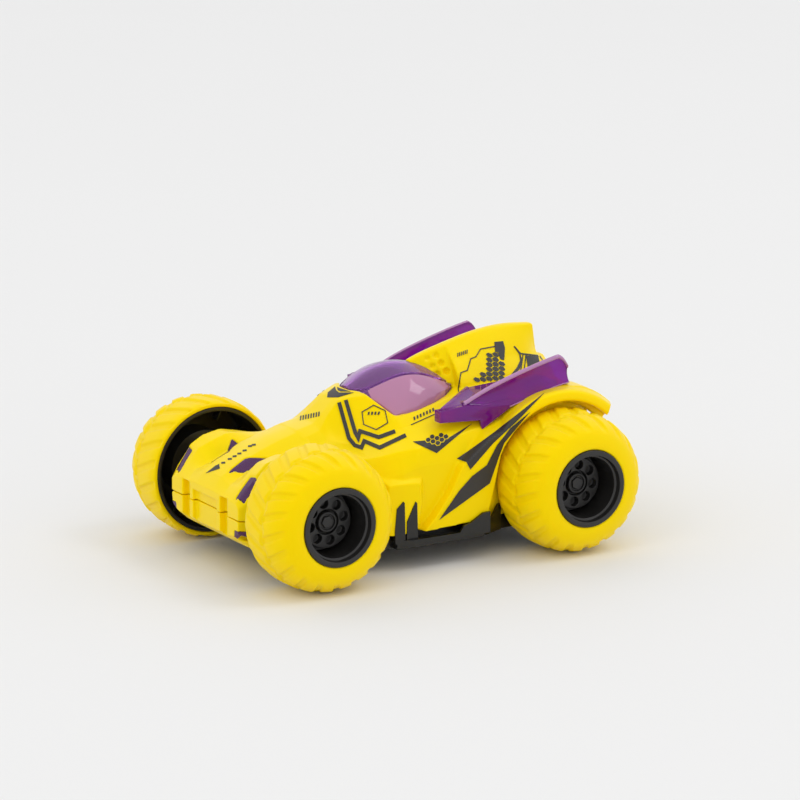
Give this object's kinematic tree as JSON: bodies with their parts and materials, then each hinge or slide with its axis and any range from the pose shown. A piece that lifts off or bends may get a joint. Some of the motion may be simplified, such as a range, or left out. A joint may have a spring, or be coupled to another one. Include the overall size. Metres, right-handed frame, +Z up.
{
  "type": "rc stunt car",
  "caption": "Low toy stunt car with four big ribbed wheels, a clear canopy, clear side wings, a tall tail ridge and geared rear drive.",
  "frame": {"origin": "on the ground, midway between the four wheels", "axes": "+X forward to the nose, +Y to the car's left, +Z up"},
  "size_m": [0.18, 0.1358, 0.0878],
  "materials": {
    "yellow_shell": "semi-gloss moulded ABS",
    "yellow_tyre": "soft satin vinyl",
    "purple_clear": "clear tinted, polished",
    "black_plastic": "satin",
    "black_rim": "satin",
    "black_hub": "satin",
    "steel": "plated",
    "brass": "machined",
    "nylon": "natural nylon",
    "gearbox_grey": "matt",
    "cell_wrap": "printed wrap, no lettering",
    "board_green": "solder mask",
    "chip_black": "matt"
  },
  "bodies": {
    "chassis": {"antenna": "chip_black", "battery_cells": "cell_wrap", "battery_contacts": "steel", "board_components": "chip_black", "canopy": "purple_clear", "chassis_pan": "black_plastic", "chassis_screws": "steel", "circuit_board": "board_green", "cockpit_tub": "black_plastic", "corner_lamp_lenses": "purple_clear", "front_axle": "steel", "front_axle_push_nuts": "steel", "front_bumper": "yellow_shell", "hood_lamp_lenses": "purple_clear", "left_axle_bushings": "brass", "left_gearbox_inner_plate": "gearbox_grey", "left_gearbox_outer_plate": "gearbox_grey", "left_gearbox_spacers": "gearbox_grey", "left_idler_pin": "steel", "left_motor": "steel", "left_side_skirt": "black_plastic", "left_wing": "purple_clear", "power_switch_body": "black_plastic", "right_axle_bushings": "brass", "right_gearbox_inner_plate": "gearbox_grey", "right_gearbox_outer_plate": "gearbox_grey", "right_gearbox_spacers": "gearbox_grey", "right_idler_pin": "steel", "right_motor": "steel", "right_side_skirt": "black_plastic", "right_wing": "purple_clear", "upper_body_shell": "yellow_shell"},
    "front_left_wheel": {"front_left_tyre": "yellow_tyre", "front_left_rim": "black_rim", "front_left_hub_cap": "black_hub"},
    "rear_left_wheel": {"rear_left_tyre": "yellow_tyre", "rear_left_rim": "black_rim", "rear_left_hub_cap": "black_hub", "left_rear_axle": "steel", "left_output_gear": "nylon"},
    "left_idler": {"left_idler_gear": "nylon"},
    "left_motor_shaft": {"left_motor_pinion": "brass"},
    "front_right_wheel": {"front_right_tyre": "yellow_tyre", "front_right_rim": "black_rim", "front_right_hub_cap": "black_hub"},
    "rear_right_wheel": {"rear_right_tyre": "yellow_tyre", "rear_right_rim": "black_rim", "rear_right_hub_cap": "black_hub", "right_rear_axle": "steel", "right_output_gear": "nylon"},
    "right_idler": {"right_idler_gear": "nylon"},
    "right_motor_shaft": {"right_motor_pinion": "brass"},
    "battery_cover": {"battery_door": "black_plastic"},
    "power_switch": {"power_switch_slider": "black_plastic"}
  },
  "joints": [
    {"name": "front_left_wheel_spin", "type": "hinge", "parent": "chassis", "child": "front_left_wheel", "pos_m": [0.06, 0, 0.03], "axis": [0, 1, 0], "continuous": true},
    {"name": "rear_left_wheel_spin", "type": "hinge", "parent": "chassis", "child": "rear_left_wheel", "pos_m": [-0.06, 0, 0.03], "axis": [0, 1, 0], "continuous": true},
    {"name": "left_idler_spin", "type": "hinge", "parent": "chassis", "child": "left_idler", "pos_m": [-0.0456, 0, 0.03], "axis": [0, 1, 0], "continuous": true},
    {"name": "left_motor_spin", "type": "hinge", "parent": "chassis", "child": "left_motor_shaft", "pos_m": [-0.0318, 0, 0.03], "axis": [0, 1, 0], "continuous": true},
    {"name": "front_right_wheel_spin", "type": "hinge", "parent": "chassis", "child": "front_right_wheel", "pos_m": [0.06, 0, 0.03], "axis": [0, 1, 0], "continuous": true},
    {"name": "rear_right_wheel_spin", "type": "hinge", "parent": "chassis", "child": "rear_right_wheel", "pos_m": [-0.06, 0, 0.03], "axis": [0, 1, 0], "continuous": true},
    {"name": "right_idler_spin", "type": "hinge", "parent": "chassis", "child": "right_idler", "pos_m": [-0.0456, 0, 0.03], "axis": [0, 1, 0], "continuous": true},
    {"name": "right_motor_spin", "type": "hinge", "parent": "chassis", "child": "right_motor_shaft", "pos_m": [-0.0318, 0, 0.03], "axis": [0, 1, 0], "continuous": true},
    {"name": "battery_cover_slide", "type": "slide", "parent": "chassis", "child": "battery_cover", "axis": [-1, 0, 0], "range_m": [0, 0.028]},
    {"name": "power_switch_slide", "type": "slide", "parent": "chassis", "child": "power_switch", "axis": [-1, 0, 0], "range_m": [0, 0.003]}
  ],
  "couplings": [
    {"joint": "left_idler_spin", "follows": "rear_left_wheel_spin", "ratio": -3},
    {"joint": "left_motor_spin", "follows": "rear_left_wheel_spin", "ratio": 10.8},
    {"joint": "right_idler_spin", "follows": "rear_right_wheel_spin", "ratio": -3},
    {"joint": "right_motor_spin", "follows": "rear_right_wheel_spin", "ratio": 10.8}
  ]
}
